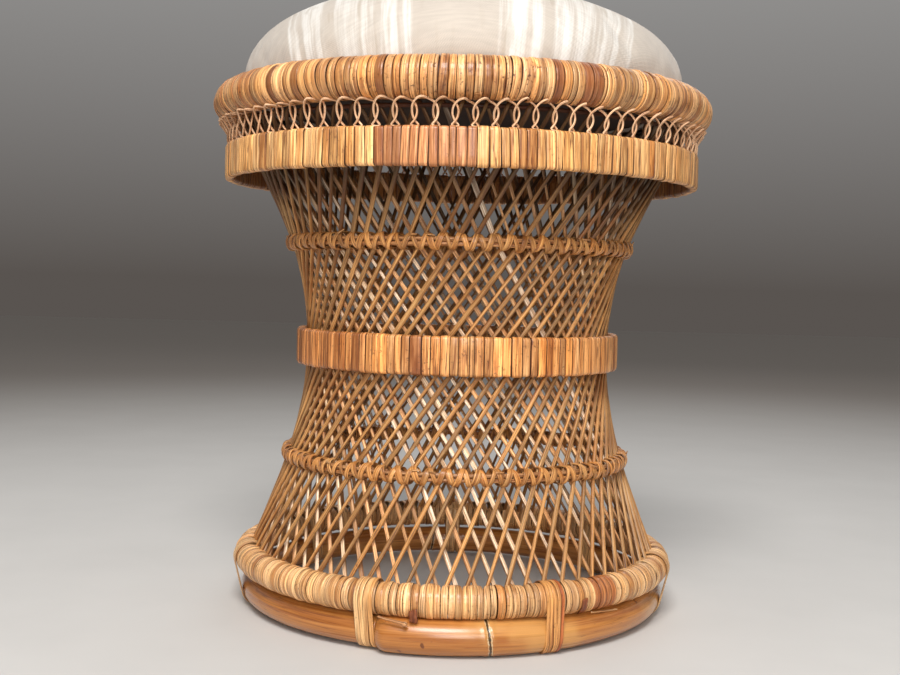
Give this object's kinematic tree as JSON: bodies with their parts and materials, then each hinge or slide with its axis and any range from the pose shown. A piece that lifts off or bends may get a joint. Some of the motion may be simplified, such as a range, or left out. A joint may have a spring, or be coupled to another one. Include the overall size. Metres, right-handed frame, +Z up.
{
  "type": "mudda stool",
  "caption": "Waisted drum stool of crossed cane reeds with a bent pole foot, wrapped waist band, apron and rim, a looped lace and a drop-in upholstered pad.",
  "frame": {"origin": "on the floor under the middle of the stool", "axes": "+Z up along the stool's axis, -Y towards the front of the picture, +X to its right"},
  "size_m": [0.3774, 0.3774, 0.465],
  "materials": {
    "pole_cane": "glossy varnished rattan pole",
    "reed_cane": "satin split cane",
    "ring_cane": "satin lashed cane",
    "rim_peel": "satin rattan peel, honey brown",
    "apron_peel": "satin rattan peel, golden",
    "waist_peel": "satin rattan peel, orange gold",
    "foot_peel": "satin rattan peel, pale yellow",
    "lace_cane": "satin thin cane",
    "core_cane": "plain rattan",
    "pad_cloth": "matt woven upholstery",
    "pad_foam": "open foam",
    "plywood": "plain plywood"
  },
  "bodies": {
    "stool_frame": {"base_hoop": "pole_cane", "foot_ring_core": "core_cane", "foot_ring_wrap": "foot_peel", "foot_lashing_1": "foot_peel", "foot_lashing_2": "foot_peel", "foot_lashing_3": "foot_peel", "foot_lashing_4": "foot_peel", "foot_lashing_5": "foot_peel", "foot_lashing_6": "foot_peel", "foot_lashing_7": "foot_peel", "foot_turn_hoop": "core_cane", "top_turn_hoop": "core_cane", "lattice_reed_01": "reed_cane", "lattice_reed_02": "reed_cane", "lattice_reed_03": "reed_cane", "lattice_reed_04": "reed_cane", "lattice_reed_05": "reed_cane", "lattice_reed_06": "reed_cane", "lattice_reed_07": "reed_cane", "lattice_reed_08": "reed_cane", "lattice_reed_09": "reed_cane", "lattice_reed_10": "reed_cane", "lattice_reed_11": "reed_cane", "lattice_reed_12": "reed_cane", "lattice_reed_13": "reed_cane", "lattice_reed_14": "reed_cane", "lattice_reed_15": "reed_cane", "lattice_reed_16": "reed_cane", "lattice_reed_17": "reed_cane", "lattice_reed_18": "reed_cane", "lattice_reed_19": "reed_cane", "lattice_reed_20": "reed_cane", "lattice_reed_21": "reed_cane", "lattice_reed_22": "reed_cane", "lattice_reed_23": "reed_cane", "lattice_reed_24": "reed_cane", "lower_ring_outer": "ring_cane", "lower_ring_inner": "ring_cane", "upper_ring_outer": "ring_cane", "upper_ring_inner": "ring_cane", "waist_hoop": "core_cane", "waist_wrap": "waist_peel", "waist_inner_hoop": "ring_cane", "apron_hoop": "core_cane", "apron_wrap": "apron_peel", "rim_wrap": "rim_peel", "rim_core": "core_cane", "loop_lace": "lace_cane", "seat_ledge": "core_cane"},
    "seat_pad": {"seat_cover": "pad_cloth", "seat_foam": "pad_foam", "seat_board": "plywood"}
  },
  "joints": [
    {"name": "seat_lift", "type": "slide", "parent": "stool_frame", "child": "seat_pad", "axis": [0, 0, 1], "range_m": [0, 0.12]}
  ]
}
